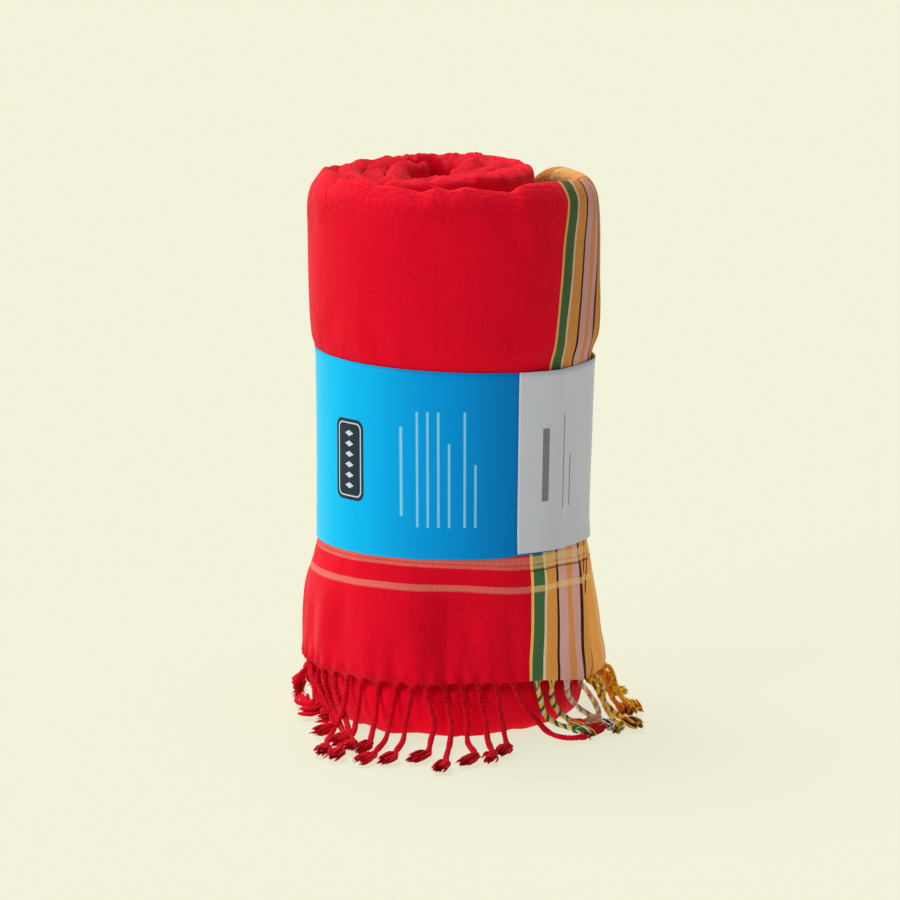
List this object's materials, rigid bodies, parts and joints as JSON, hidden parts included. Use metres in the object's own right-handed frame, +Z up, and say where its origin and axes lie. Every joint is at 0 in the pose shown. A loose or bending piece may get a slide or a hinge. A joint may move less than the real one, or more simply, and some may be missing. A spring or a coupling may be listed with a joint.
{
  "type": "rolled kikoy wrap with a paper band",
  "caption": "Striped cotton wrap with a tasselled hem, folded, rolled and stood on end, held shut by a plain paper band; stands on its flat foot",
  "frame": {"origin": "on the axis of the roll's outer turn, at the floor that the roll stands on", "axes": "+Z up along the roll, -Y the front where the blue paper and the striped border's edge show, +X to the right"},
  "size_m": [0.148, 0.1957, 0.2101],
  "materials": {
    "red_cloth": "plain woven cotton",
    "striped_cloth": "woven cotton with lengthwise stripes",
    "red_tassels": "twisted and knotted cotton yarn",
    "striped_tassels": "twisted and knotted cotton yarn in mixed colours",
    "paper": "smooth printed paper, blue with a grey end"
  },
  "bodies": {
    "root": {"outer_field": "red_cloth", "outer_border": "striped_cloth", "outer_layers": "red_cloth", "inner_turn_2": "red_cloth", "inner_turn_3": "red_cloth", "inner_core": "red_cloth", "fringe_field": "red_tassels", "fringe_border": "striped_tassels", "paper_band": "paper"}
  },
  "joints": []
}
